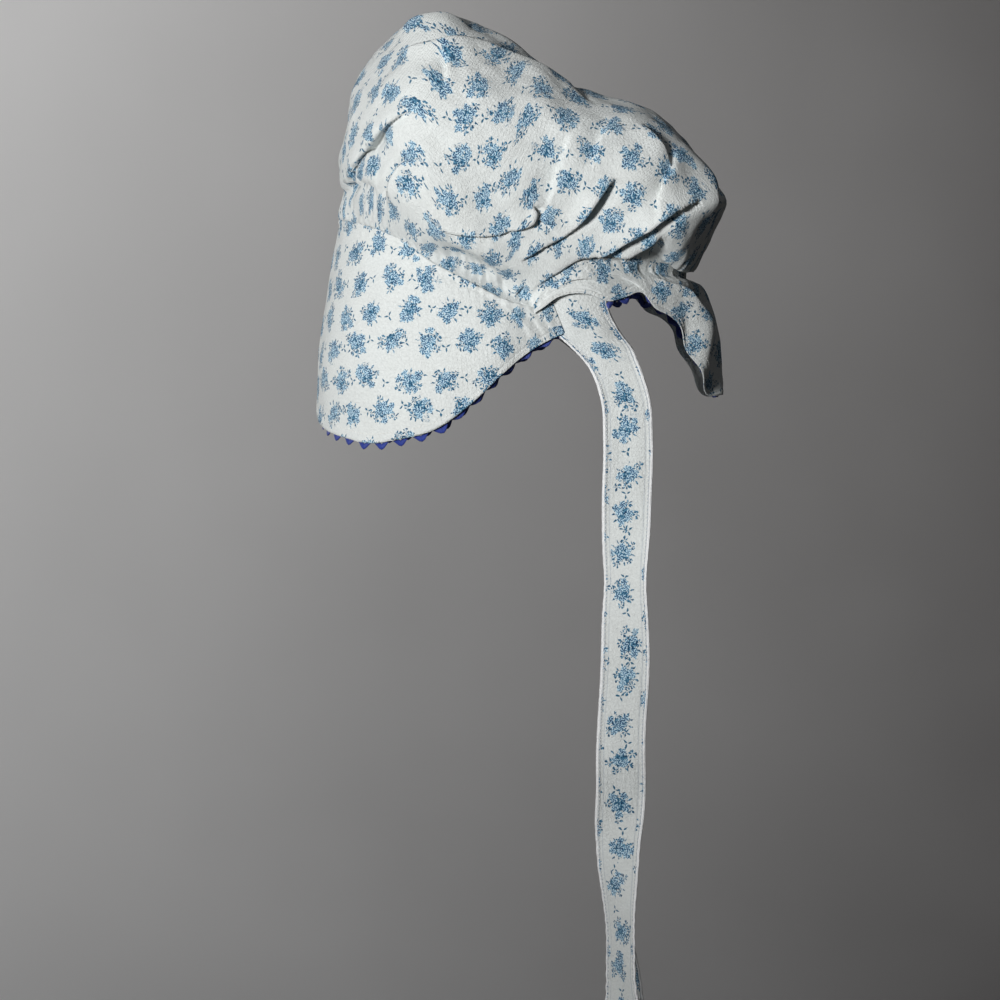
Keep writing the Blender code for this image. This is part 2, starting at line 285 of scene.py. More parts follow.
# %% The print
def printed_cloth(tree):
    """The flat map of the printed cloth, and its colour there."""
    flat = add(tree, "UVMap", uv_map="cloth_mm")
    waver = add(tree, "TexNoise", flat, Scale=0.42, Detail=3.0, Roughness=0.7)
    cloth = add(tree, "VectorMath MULTIPLY_ADD", waver.outputs["Color"], (2.2, 2.2, 0), flat)
    cloth = add(tree, "VectorMath MULTIPLY", cloth, (1, 1, 0))
    mottle = add(tree, "TexNoise", flat, Scale=0.03, Detail=4.0)
    colour = add(tree, "MixRGB", mottle, linear(COTTON["ground"]), linear(COTTON["ground_shade"]))

    sprig_at, _ = print_cell(tree, cloth, STEP / 2, SPRIG_LOOSE)
    sprig = leaves(tree, sprig_at, 3, 2.0, 1.9, 0.85)
    colour = add(tree, "MixRGB", sprig, colour, linear(COTTON["leaf"]))

    spray_at, number = print_cell(tree, cloth, 0.0, BOUQUET_LOOSE)
    apart = add(tree, "VectorMath MULTIPLY", number, (41.3, 67.7, 0))
    garden = add(tree, "VectorMath ADD", spray_at, apart)
    cells = add(
        tree, "TexVoronoi", garden, voronoi_dimensions="2D", feature="F1",
        Scale=1 / ROSE, Randomness=0.8,
    )
    kind = add(tree, "SeparateColor", cells.outputs["Color"])
    # How far the rose's heart is from the bouquet's, which is a little wider than tall.
    middle = add(tree, "VectorMath SUBTRACT", cells.outputs["Position"], apart)
    middle = add(tree, "VectorMath MULTIPLY", middle, (0.86, 1.14, 0))
    far_out = add(tree, "VectorMath LENGTH", middle).outputs["Value"]
    on_rose = add(tree, "VectorMath SUBTRACT", garden, cells.outputs["Position"])
    on_rose = add(tree, "VectorMath MULTIPLY", on_rose, (1, 1, 0))
    tuft, shades = bouquet_leaves(tree, flat, spray_at, on_rose, far_out, kind)
    colour = add(tree, "MixRGB", tuft, colour, shades)
    rose, petals = roses(tree, on_rose, far_out, kind)
    return flat, add(tree, "MixRGB", rose, colour, petals)


# %% [markdown]
# ## Right side, reverse and hems
#
# The crinkle of washed cotton is about a millimetre and a half from crest to crest, and
# its threads are drawn at 0.9 mm, three times their real spacing, so that they show at all.
# Both bump the surface, and painted shade darkens the colour in their hollows and lightens
# it on their crests.
# The cloth is matt, with a faint bloom where its fibres catch the light, so its sheen is low
# and its gloss lower. The reverse shows the same print, paler. A hem is turned twice and
# oversewn, so the outer two millimetres of a tie show plain thread, with two thin dark lines
# of painted shade beside it; a value stored on the cloth, its distance from the edge, draws
# them.

# %% Cotton materials
OVERSEWN = 1.9
# Two thin dark lines of painted shade run beside the oversewn edge.
HEM_SHADE_LINES = ((2.7, 0.45), (5.4, 0.22))  # distance from the edge, and strength


def cotton(name, fade, hem):
    """Printed cotton; fade bleaches the print, hem draws a plain oversewn edge with two thin lines of
    painted shade beside it.
    """
    material, tree, shader = new_material(name)
    flat, colour = printed_cloth(tree)
    colour = add(tree, "MixRGB", fade, colour, linear(COTTON["ground"]))
    crinkle = add(tree, "TexNoise", flat, Scale=0.62, Detail=2.5, Roughness=0.65, Distortion=0.8)
    warp = add(tree, "TexWave", flat, Scale=0.35, bands_direction="X", Distortion=0.6)
    weft = add(tree, "TexWave", flat, Scale=0.35, bands_direction="Y", Distortion=0.6)
    weave = add(tree, "Math MULTIPLY_ADD", add(tree, "Math ADD", warp, weft), 0.16, crinkle)
    if hem:
        edge = add(tree, "Attribute", attribute_name="edge_mm")
        oversewn = under(tree, edge.outputs["Fac"], OVERSEWN, 0.25)
        colour = add(tree, "MixRGB", oversewn, colour, linear(COTTON["thread"]))
        # Painted shade: thin dark lines beside the oversewn edge of the hem.
        for shade_at, strength in HEM_SHADE_LINES:
            line = add(tree, "Math ABSOLUTE", add(tree, "Math SUBTRACT", edge.outputs["Fac"], shade_at))
            line = add(tree, "Math MULTIPLY", under(tree, line, 0.35, 0.3), strength)
            colour = add(tree, "MixRGB", line, colour, linear(COTTON["petal_dark"]))
    # Painted shade: the colour darkens in the hollows of the crinkle and the weave and lightens on their
    # crests.
    crinkle_shade = add(tree, "MapRange", weave, From_Min=0.3, From_Max=0.9, To_Min=0.87, To_Max=1.06)
    colour = add(tree, "MixRGB", 1.0, colour, crinkle_shade, blend_type="MULTIPLY")
    bump = add(tree, "Bump", Strength=0.8, Distance=0.0014, Height=weave)
    tree.links.new(colour.outputs["Color"], shader.inputs["Base Color"])
    tree.links.new(bump.outputs["Normal"], shader.inputs["Normal"])
    shader.inputs["Roughness"].default_value = 0.88
    shader.inputs["Specular IOR Level"].default_value = 0.25
    shader.inputs["Sheen Weight"].default_value = 0.12
    return material


cotton_face = cotton("printed cotton", 0.0, False)
cotton_back = cotton("printed cotton reverse", 0.62, False)
cotton_hemmed = cotton("printed cotton with oversewn edge", 0.0, True)
print("cotton nodes:", len(cotton_face.node_tree.nodes))

# %% [markdown]
# ## Braid and thread
#
# Rickrack is a flat braid woven so tight that it waves from side to side. It is a deep
# royal blue with a slight sheen; painted shade darkens the hollows between its strands,
# and the blue varies a little at random. The sewing thread is plain white cotton.

# %% Braid and thread materials
braid_blue, tree, shader = new_material("royal blue woven braid")
flat = add(tree, "UVMap", uv_map="cloth_mm")
strands = add(tree, "TexWave", flat, Scale=0.55, bands_direction="DIAGONAL", Distortion=1.5)
blotch = add(tree, "TexNoise", flat, Scale=0.25, Detail=3.0)
# Painted shade darkens the blue where the strands sink, and a blotchy noise varies it at random.
strand_shade_and_blotch = add(tree, "Math MULTIPLY_ADD", strands, 0.55, add(tree, "Math MULTIPLY", blotch, 0.45))
colour = add(tree, "MixRGB", strand_shade_and_blotch, linear("#101E62"), linear("#2441A6"))
bump = add(tree, "Bump", Strength=0.6, Distance=0.0004, Height=strands)
tree.links.new(colour.outputs["Color"], shader.inputs["Base Color"])
tree.links.new(bump.outputs["Normal"], shader.inputs["Normal"])
shader.inputs["Roughness"].default_value = 0.6
shader.inputs["Sheen Weight"].default_value = 0.2

white_thread, tree, shader = new_material("white sewing thread")
place = add(tree, "TexCoord").outputs["Object"]
twist = add(tree, "TexNoise", place, Scale=900.0, Detail=1.0)
colour = add(tree, "MixRGB", twist, linear("#DAD8D2"), linear("#F6F5F1"))
tree.links.new(colour.outputs["Color"], shader.inputs["Base Color"])
shader.inputs["Roughness"].default_value = 0.8

# %% [markdown]
# ## Curves that shape the bonnet
#
# These are the same curves as in the solids, in millimetres: the wearer faces -Y, the
# wearer's left is +X, and the origin is where the top of the head sits. A curve is read by
# a share from 0 to 1 of its length, or by the first column of its table.


# %% Readers
def reader(at, values):
    """A smooth curve through values, read by its parameter."""
    at, values = np.asarray(at, float), np.asarray(values, float)
    slopes = np.gradient(values, at, axis=0)

    def read(place):
        place = np.clip(np.asarray(place, float), at[0], at[-1])
        left = np.clip(np.searchsorted(at, place, side="right") - 1, 0, len(at) - 2)
        span = at[left + 1] - at[left]
        share = (place - at[left]) / span
        if values.ndim > 1:
            share, span = share[..., None], span[..., None]
        square, cube = share**2, share**3
        return (
            (2 * cube - 3 * square + 1) * values[left]
            + (cube - 2 * square + share) * span * slopes[left]
            + (3 * square - 2 * cube) * values[left + 1]
            + (cube - square) * span * slopes[left + 1]
        )

    return read


def along(points):
    """A smooth curve through points, read from 0 at its first to 1 at its last."""
    points = np.asarray(points, float)
    steps = np.linalg.norm(np.diff(points, axis=0), axis=1)
    return reader(np.concatenate([[0], np.cumsum(steps)]) / steps.sum(), points)


def columns(rows):
    """One reader for each column of a table whose first column is the parameter."""
    rows = np.asarray(rows, float)
    return [reader(rows[:, 0], rows[:, column]) for column in range(1, rows.shape[1])]


def ease(share):
    """Rises smoothly from 0 to 1."""
    share = np.clip(share, 0, 1)
    return share * share * (3 - 2 * share)


# %% Curves
CROWN_LINE = along(
    ((-131, -107), (-135, -98), (-128, -77), (-131, -64), (-127, -37), (-120, -7), (-101, 21),
     (-63, 46), (-38, 39), (10, 14), (36, -8), (56, -16), (85, -23), (104, -34), (120, -50),
     (132, -68), (144, -87), (148, -95), (144, -106), (134, -130), (121, -143))
)
SEAM_LINE = along(
    ((0, -131, -107), (30, -125, -110), (57, -111, -115), (82, -85, -127), (93, -62, -144),
     (99, -36, -158), (100, -8, -172), (99, 10, -177), (97, 27, -183))
)
CROWN_SHARE_OF_SEAM = 0.91
EDGE_LINE = along(
    ((0, -149, -246), (25, -145, -255), (45, -138, -261), (64, -125, -266), (80, -108, -270),
     (93, -87, -268), (102, -60, -261), (105, -39, -247), (105, -12, -222), (102, 0, -211),
     (100, 15, -201), (97, 31, -193))
)
EAR_EDGE = ((99, 10, -177), (102, 17, -164), (102.5, 26, -158), (101.5, 37, -150), (99, 48, -145),
            (93, 64, -141))
NAPE = ((93, 64, -141), (81, 84, -141.5), (60, 104, -142.5), (30, 118, -143), (0, 121, -143))
EAR_LINE, NAPE_LINE = along(EAR_EDGE), along(NAPE)
CURTAIN_TOP = along(((102, 9, -174.5),) + EAR_EDGE[1:] + NAPE[1:])
HEM_LINE = along(
    ((102.5, 9, -180), (103, 16, -175.5), (103, 25, -169), (102.5, 36, -166), (101, 50, -167),
     (98.5, 61, -171), (91, 73, -168), (83, 85, -164), (76, 96, -175), (67, 106, -180),
     (58, 115, -189), (47, 121.5, -207), (34, 128, -222), (18, 138, -234), (0, 146, -234))
)
CROWN_BULGE, CROWN_LEAN = columns(
    # place, bulge, lean to the right
    ((0.00, 0, 0), (0.05, 20, 0), (0.12, 31, 3), (0.25, 34, 12), (0.45, 34, 22), (0.60, 34, 17),
     (0.80, 31, 6), (0.93, 20, 0), (1.00, 0, 0))
)
# How square an arch of the crown is, 2 being half an ellipse, and how much more so at the back.
FULLNESS, FULLER_BACK = 2.25, 0.7
# The shares of its depth over which the crown leaves the brim's seam and comes to the nape's.
SEAM_BLEND = NAPE_BLEND = 0.10
# How much higher the right side rides, reached at this distance from the middle.
FAR_LIFT, FAR_LIFT_REACH = 8.0, 100.0
# How far the brim and the curtain go up into their seams.
SEAM_LAP = 0.9
print("brim's seam ends at", SEAM_LINE(1.0).round(1), "and its free edge at", EDGE_LINE(1.0).round(1))

# %% [markdown]
# ## Sheets of cloth
#
# A sheet starts as a flat grid and its points are carried to their places. These helpers
# measure such a grid: its normals, the walks along its rows and columns, and its area.
# Smooth noise gives the slow swells of soft cloth.


# %% Grid helpers
def mirrored(points, side):
    """Left-half points, put on the side that the sign of side says."""
    points = np.array(points)
    points[..., 0] *= np.where(np.asarray(side) < 0, -1.0, 1.0)
    return points


def lifted(points):
    """The right side rides a little higher than the left."""
    points = np.array(points)
    points[..., 2] += FAR_LIFT * ease(-points[..., 0] / FAR_LIFT_REACH)
    return points


def unit(vectors):
    """The same vectors at length one."""
    return vectors / np.maximum(np.linalg.norm(vectors, axis=-1, keepdims=True), 1e-9)


def normals(points):
    """Unit normals of a grid; they point out where its rows run front to back or down the back."""
    return unit(np.cross(np.gradient(points, axis=1), np.gradient(points, axis=0)))


def lengths(points, axis):
    """Distance walked along a grid's rows or columns from its first line."""
    steps = np.linalg.norm(np.diff(points, axis=axis), axis=-1)
    start = np.zeros_like(steps.take([0], axis=axis))
    return np.concatenate([start, np.cumsum(steps, axis=axis)], axis=axis)


def cell_areas(points):
    """The area of each cell of a flat or a bent grid."""
    down, across = np.diff(points, axis=0)[:, :-1], np.diff(points, axis=1)[:-1]
    return np.sqrt(np.maximum((down**2).sum(-1) * (across**2).sum(-1) - (down * across).sum(-1) ** 2, 0))


def bumps(points, size, seed):
    """Smooth random heights from -1 to 1, about size mm from crest to crest."""
    flat = points.reshape(-1, points.shape[-1]) / size + seed * 17.3
    flat = np.pad(flat, ((0, 0), (0, 3 - flat.shape[1])))
    return np.array([noise.noise(Vector(p)) for p in flat]).reshape(points.shape[:-1]) * 1.6


# %% [markdown]
# ## From grid to cloth
#
# The flat map of a sheet comes from Blender's own unwrapping with as little stretch as
# possible, done on a coarser copy, so that the cloth taken up by a fold is missing from the
# print beside it. It is then made true to size and turned until the print stands upright.
# Solidify gives the wall, and its inner side gets the paler reverse.


# %% Grid mesh
def grid_mesh(name, points, outward=True):
    """A mesh from a flat grid whose points are carried to their places, in millimetres."""
    rows, cols = points.shape[0] - 1, points.shape[1] - 1
    bm = bmesh.new()
    bmesh.ops.create_grid(bm, x_segments=cols, y_segments=rows, size=0.5)
    if not outward:
        bmesh.ops.reverse_faces(bm, faces=bm.faces)
    mesh = bpy.data.meshes.new(name)
    bm.to_mesh(mesh)
    bm.free()
    flat = np.empty(len(mesh.vertices) * 3)
    mesh.vertices.foreach_get("co", flat)
    row = np.rint((flat[1::3] + 0.5) * rows).astype(int)
    col = np.rint((flat[0::3] + 0.5) * cols).astype(int)
    mesh.vertices.foreach_set("co", (points[row, col] * MM).ravel())
    mesh.shade_smooth()
    return mesh, row, col


# %% Flat map
def spread_flat(points, every, up):
    """Unwraps a grid: the place of each point on the flat cloth, in millimetres.

    The coarse copy takes every few rows and columns, and up picks the part that is seen.
    """
    rows = np.unique(np.append(np.arange(0, points.shape[0], every), points.shape[0] - 1))
    cols = np.unique(np.append(np.arange(0, points.shape[1], every), points.shape[1] - 1))
    coarse = points[np.ix_(rows, cols)]
    mesh, row, col = grid_mesh("flat_cut", coarse)
    thing = bpy.data.objects.new("flat_cut", mesh)
    bpy.context.scene.collection.objects.link(thing)
    for other in bpy.context.selected_objects:
        other.select_set(False)
    bpy.context.view_layer.objects.active = thing
    thing.select_set(True)
    bpy.ops.object.mode_set(mode="EDIT")
    bpy.ops.mesh.select_all(action="SELECT")
    bpy.ops.uv.unwrap(method="MINIMUM_STRETCH", iterations=30, no_flip=True)
    bpy.ops.object.mode_set(mode="OBJECT")
    uv = np.empty(len(mesh.loops) * 2)
    mesh.uv_layers.active.data.foreach_get("uv", uv)
    corner = np.empty(len(mesh.loops), int)
    mesh.loops.foreach_get("vertex_index", corner)
    flat = np.zeros(coarse.shape[:2] + (2,))
    flat[row[corner], col[corner]] = uv.reshape(-1, 2)
    bpy.data.objects.remove(thing, do_unlink=True)
    # True to size, and turned so that the print stands upright, where up says.
    seen = up(coarse)[:-1, :-1]
    scale = math.sqrt(cell_areas(coarse)[seen].sum() / cell_areas(flat)[seen].sum())
    flat = (flat - flat.reshape(-1, 2).mean(0)) * scale
    rise = coarse[..., 2][up(coarse)]
    place = flat[up(coarse)]
    slope = np.linalg.lstsq(np.column_stack([place, np.ones(len(place))]), rise, rcond=None)[0][:2]
    lean = math.atan2(slope[0], slope[1])
    turn = np.array([[math.cos(lean), -math.sin(lean)], [math.sin(lean), math.cos(lean)]])
    flat = flat @ turn.T
    fine = np.empty(points.shape[:2] + (2,))
    every_row, every_col = np.arange(points.shape[0]), np.arange(points.shape[1])
    for k in (0, 1):
        wide = np.array([np.interp(every_col, cols, line) for line in flat[..., k]])
        fine[..., k] = np.array([np.interp(every_row, rows, line) for line in wide.T]).T
    return fine


def lay_map(mesh, row, col, flat):
    """Stores the flat map, in millimetres, on a mesh."""
    corner = np.empty(len(mesh.loops), int)
    mesh.loops.foreach_get("vertex_index", corner)
    layer = mesh.uv_layers.new(name="cloth_mm")
    layer.data.foreach_set("uv", flat[row[corner], col[corner]].ravel())


# %% Pieces
def place_piece(name, mesh, materials, node):
    """Makes a mesh a piece that rides on the bonnet and stands for its solid."""
    thing = bpy.data.objects.new(name, mesh)
    bpy.context.scene.collection.objects.link(thing)
    for material in materials:
        mesh.materials.append(material)
    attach(thing, "root")
    if node:
        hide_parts(node)
    return thing


def wall(thing, thickness, reverse):
    """A cloth wall grown inwards from the outer face."""
    maker = thing.modifiers.new("wall", "SOLIDIFY")
    maker.thickness = thickness * MM
    maker.offset = -1
    maker.material_offset = 1 if reverse else 0


def say(thing, points):
    """Prints a sheet's faces and the area of one layer of it, and returns the area."""
    area = cell_areas(points).sum() * MM**2
    print(f"{thing.name}: {len(thing.data.polygons)} faces, one layer {area:.3f} square metres")
    return area


# %% [markdown]
# ## Crown: its form
#
# The crown is one wide cloth that arches from ear to ear. Arches one behind the other, from
# the brim's seam over the top to the nape, give its form. They are a little squarer than
# half an ellipse, and more so at the back, stand out at the sides, and tip to the wearer's
# right on top. The columns lie closer together on the side that the photograph shows.

# %% Crown form
NEAR, FAR, LONG = 240, 66, 160  # columns on the near and the far side, and rows


def crown_form(place, side):
    """The crown before its folds: place runs from the brim's seam to the nape, side from ear to ear."""
    reach = np.abs(side)
    angle = (1 - reach) * math.pi / 2
    power = 2 / (FULLNESS + FULLER_BACK * ease((place - 0.4) / 0.25))
    rise = np.sin(angle) ** power
    ear, top = EAR_LINE(place), CROWN_LINE(place)
    half = ear[..., 0] * np.cos(angle) ** power + CROWN_BULGE(place) * np.sin(2 * angle)
    arch = np.empty(place.shape + (3,))
    arch[..., 0] = half * np.sign(side + 1e-9) - CROWN_LEAN(place) * rise**2
    arch[..., 1:] = ear[..., 1:] + (top - ear[..., 1:]) * rise[..., None]
    seam = mirrored(SEAM_LINE(reach * CROWN_SHARE_OF_SEAM), side)
    nape = mirrored(NAPE_LINE(1 - reach), side)
    points = seam + (arch - seam) * ease(place / SEAM_BLEND)[..., None]
    return nape + (points - nape) * ease((1 - place) / NAPE_BLEND)[..., None]


columns_of_crown = np.concatenate([np.linspace(-1, 0, FAR, endpoint=False), np.linspace(0, 1, NEAR) ** 0.9])
place, side = np.meshgrid(np.linspace(0, 1, LONG), columns_of_crown, indexing="ij")
crown = crown_form(place, side)
print("crown grid", crown.shape)

# %% [markdown]
# ## Crown: its folds
#
# Full cloth that is drawn into a short seam bags out and folds over itself. Each big fold
# is a line seen from the side. Cloth on the left of the line swells into a lip and slides
# over the line, and cloth on its right dips under the lip, so the fold hides some print.
# Small gathers start at the seams and die out, and soft random swells break up the rest.
# Behind the brim's seam the cloth drops into a wrinkled band, and the puff overhangs it.

# %% Table of folds
# The width over which a fold's edge turns over, in millimetres.
SHARP = 0.7
CROWN_FOLDS = (
    # width, then y and z seen from the side, depth, lip and slide at each point of the line
    (6, ((0, -145, 0, 0, 0), (6, -140, 1.5, 1, 2.5), (14, -134, 2, 1.5, 3.5), (28, -126, 2.5, 1.5, 4),
         (34, -121, 3, 2, 4.5), (41, -115, 8, 4, 4), (50, -105, 16, 5, 3), (57, -97, 14, 3, 2),
         (62, -91, 8, 1.5, 1), (66, -86, 0, 0, 0))),
    (7, ((8, -165, 0, 0, 0), (16, -158, 2, 1, 3), (28, -149, 3, 1.5, 4.5), (41, -140, 3, 2, 5),
         (56, -135, 6, 4, 6), (71, -127, 8, 5, 6), (89, -118, 8.5, 6, 6), (106, -108, 7, 5, 5),
         (118, -103, 6, 3, 3.5), (128, -100, 0, 0, 0))),
    (6, ((50, -139, 0, 0, 0), (60, -140, 6, 2, 3), (71, -139.5, 10, 3, 4), (84, -136, 12, 3, 4),
         (93, -131.5, 8, 3, 3), (99, -129, 0, 0, 0))),
    (7, ((107, -60, 0, 0, 0), (109, -72, 2, 1.5, 1), (103, -84, 3, 2, 2.5), (98, -95, 3, 2, 2.5),
         (94, -106, 1.5, 1, 1), (92, -114, 0, 0, 0))),
    (4.5, ((-9, -124, 0, 0, 0), (-2, -122.5, 2, 1.5, 1.5), (4, -120.5, 2.5, 2, 2),
         (9, -117, 7, 2.5, 2.5), (10.5, -112, 9, 2.5, 2.5), (9, -106, 0, 0, 0))),
    (4, ((10, -110, 0, 0, 0), (14, -115, 2, 1.5, 1.5), (19, -118.5, 1.5, 1, 1), (24, -123, 0, 0, 0))),
    (6, ((-58, -123, 0, 0, 0), (-48, -125, 2, 1, 2), (-36, -126, 2.5, 1, 3), (-22, -126, 2.5, 1, 3),
         (-12, -124.5, 2, 1, 2), (-5, -122, 0, 0, 0))),
    (6.5, ((-127, -90, 0, 0, 0), (-122, -79, 8, 4, 4), (-114, -66, 11, 5, 6), (-106, -58, 12, 6, 6),
         (-97, -50, 9, 5, 5), (-86, -44, 4, 3, 3), (-76, -40, 0, 0, 0))),
    (5, ((-104, -88, 0, 0, 0), (-105, -78, 5, 3, 2.5), (-109, -68, 4, 3, 2), (-113, -62, 0, 0, 0))),
    (6, ((-74, -71, 0, 0, 0), (-82, -77, 6, 3, 3), (-89, -86, 8, 3, 3), (-93, -94, 5, 2, 2),
         (-95, -102, 0, 0, 0))),
    (5, ((-134, -84, 0, 0, 0), (-126, -84, 4, 3, 1), (-117, -85, 4, 3, 1.5), (-108, -88, 2, 1, 1),
         (-101, -93, 0, 0, 0))),
    (5, ((-9, -176, 0, 0, 0), (-6, -171, 2, 1.5, 1.5), (-1, -166, 2, 1.5, 1.5), (4, -161, 0, 0, 0))),
    (6, ((-35, 26, 0, 0, 0), (-47, 33, 2, 2, 1.5), (-60, 35, 3, 3, 2), (-72, 33, 3, 3, 2),
         (-84, 28, 2, 2, 1), (-95, 22, 0, 0, 0))),
    (8, ((52, -29, 0, 0, 0), (28, -12, 3, 2, 1.5), (10, -1, 3, 3, 2), (-9, 7, 3, 3, 2),
         (-27, 12, 3, 3, 2), (-45, 14, 3, 3, 2), (-58, 12, 3, 3, 2), (-77, 9, 2, 2, 1),
         (-88, 4, 0, 0, 0))),
    (5, ((-54, 8, 0, 0, 0), (-53, -1, 3, 1.5, 1.5), (-52, -12, 3, 1.5, 1.5), (-51, -24, 0, 0, 0))),
    (12, ((34, -54, 0, 0, 0), (32, -62, 3, 1, 0), (27, -78, 4, 2, 0), (22, -95, 4, 2, 0),
         (17, -106, 0, 0, 0))),
    (10, ((64, -40, 0, 0, 0), (58, -52, 2, 1, 0), (52, -66, 3, 2, 0), (48, -80, 0, 0, 0))),
    (8, ((106, -76, 0, 0, 0), (102, -66, 3, 2, 1), (94, -56, 3, 2, 1), (84, -45, 0, 0, 0))),
    (6, ((133, -119, 0, 0, 0), (137, -105, 3, 2, 1), (136, -93, 4, 3, 1.5), (130, -78, 4, 3, 1.5),
         (121, -65, 2, 2, 1), (113, -54, 0, 0, 0))),
)
# The first of them, the big ones, come back weaker on the far side, moved by this y and z.
FAR_FOLDS, FAR_SHIFT, FAR_SHARE = 12, (-9, 7), 0.8
CROWN_DENTS = (
    # y, z, reach, height
    (-98, -68, 10, -4), (-133, -74, 9, 4), (-138, -100, 8, 5), (114, -133, 12, 5), (94, -140, 10, -11),
    (80, -141, 8, -7), (70, -145, 7, -5), (-70, -20, 16, 3),
)


# %% Fold and gather tools
def fold_moves(points, out, folds):
    """How far every point of a grid is carried by the folds."""
    moved = np.zeros_like(points)
    flat = points[..., 1:]
    for width, path in folds:
        line = along(path)(np.linspace(0, 1, 60))
        ahead = unit(np.gradient(line[:, :2], axis=0))
        left = np.stack([-ahead[:, 1], ahead[:, 0]], -1)
        nearest = np.linalg.norm(flat[..., None, :] - line[:, :2], axis=-1).argmin(-1)
        offset = flat - line[nearest, :2]
        depth, lip, slide = line[nearest, 2:].transpose(2, 0, 1)
        away = np.linalg.norm(offset, axis=-1) / width
        over = 0.5 + 0.5 * np.tanh((offset * left[nearest]).sum(-1) / SHARP)
        rise = lip * over * np.exp(-((away - 0.3) ** 2)) - depth * (1 - over) * np.exp(-(away**2))
        slip = slide * (2 * over - 1) * np.exp(-(away**2))
        moved += rise[..., None] * out
        moved[..., 1:] -= slip[..., None] * left[nearest]
    return moved


def pleats(walk, spacing, drift, seed):
    """Irregular gathers across a line that is walked in millimetres, from -1 to 1."""
    wander = bumps(np.stack([walk, drift], -1), 38.0, seed)
    strength = 0.65 + 0.5 * bumps(np.stack([walk, drift * 0.4], -1), 24.0, seed + 1)
    return np.cos(2 * math.pi * walk / spacing + 4.0 * wander) * np.clip(strength, 0.1, 1.2)


# %% Crown folds
out = normals(crown)
down, across = lengths(crown, 0), lengths(crown, 1)
from_seam, from_nape = down, down[-1] - down
from_ear = np.minimum(across, across[:, -1:] - across)
near = ease((crown[..., 0] + 10) / 40)
moves = fold_moves(crown, out, CROWN_FOLDS) * near[..., None]
far_folds = [
    (width, [(y + FAR_SHIFT[0], z + FAR_SHIFT[1], *rest) for y, z, *rest in path])
    for width, path in CROWN_FOLDS[:FAR_FOLDS]
]
moves += fold_moves(crown, out, far_folds) * FAR_SHARE * (1 - near)[..., None]

# %% Crown gathers and swells
# Gathers at the brim's seam, at the nape and at the ears, then swells of three sizes.
relief = 1.3 * pleats(across[0] + 0 * across, 7.0, from_seam, 1) * np.exp(-from_seam / 17)
relief += (1.3 - 0.7 * near) * pleats(across[-1] + 0 * across, 9.0, from_nape, 3) * np.exp(-from_nape / 26)
relief += 1.1 * pleats(down, 8.0, from_ear, 5) * np.exp(-from_ear / 12)
relief += 2.4 * bumps(crown, 62, 7) + 1.3 * bumps(crown, 27, 8) + 0.55 * bumps(crown, 12, 9)
# A ridge runs along the top on the near side, with a hollow behind it.
ridge = ease((place - 0.33) / 0.1) * ease((0.80 - place) / 0.12)
relief += ridge * 2.0 * np.exp(-(((side - 0.20) / 0.06) ** 2))
relief -= ridge * 3.0 * np.exp(-(((side - 0.07) / 0.07) ** 2))
# The band behind the near part of the brim's seam.
shelf = np.exp(-(((crown[..., 1] + 32) / 34) ** 4)) * near
in_band = np.exp(-(((from_seam - 12) / 12) ** 2)) * shelf
relief += in_band * (1.6 * bumps(crown, 9, 11) - 10.5)
for y, z, wide, high in CROWN_DENTS:
    relief += near * high * np.exp(-((crown[..., 1] - y) ** 2 + (crown[..., 2] - z) ** 2) / wide**2)
border = np.minimum(np.minimum(from_seam, from_nape), from_ear)
held = ease(border / 5.0)
# Over the nape the puff sags past its seam and hides it, and most at the back of the near side.
sag = ease((crown[..., 1] - 55) / 20) * ease(from_nape / 6) * np.exp(-((from_nape / 15) ** 2))
moves = moves * ease(border / 12.0)[..., None]
moves += (sag * ease(border / 7.0))[..., None] * (2.5 * out - (0, 0, 2.5))
crown = lifted(crown + moves + out * (relief * held)[..., None])

# %% Crown piece
mesh, row, col = grid_mesh("crown_cloth", crown)
crown_flat = spread_flat(crown, 3, lambda p: (p[..., 0] > 60))
# The wrinkled band under the puff and the gathers take up cloth that the coarse copy misses.
crown_flat[..., 1] += 24.0 * shelf * ease((from_seam - 1) / 26)
lay_map(mesh, row, col, crown_flat)
crown_piece = place_piece("crown_cloth", mesh, (cotton_face, cotton_back), "crown")
wall(crown_piece, 0.6, True)
crown_area = say(crown_piece, crown)
print("crown flat map", np.ptp(crown_flat.reshape(-1, 2), axis=0).round())

# %% [markdown]
# ## Brim
#
# The brim is two layers of cloth on a stiffener, so it is smooth, with only slow waves. Its
# upper edge is welted into the seam, and a line of stitches runs just inside its free edge.
# Its ends go up under the ends of the curtain and lie on the roots of the ties.

# %% Brim form
BRIM_SWELL = 4.0
BRIM_CLOTH = 2.2
HEM_DEPTH = 5.0  # from a free edge to its line of stitches
BRIM_FOLDS = (
    # as the crown's folds: three small tucks where the brim ends at the ear
    (4, ((-9, -177, 0.6, 0.6, 0.5), (-2, -184, 1, 0.8, 0.8), (5, -193, 0.8, 0.6, 0.6),
         (10, -203, 0, 0, 0))),
    (4, ((5, -180, 0.6, 0.6, 0.5), (11, -187, 1.1, 0.8, 1), (17, -196, 0.8, 0.6, 0.6))),
    (3.5, ((15, -182, 0.6, 0.6, 0.5), (20, -188, 1, 0.8, 0.8), (24, -195, 0.6, 0.6, 0.5))),
)


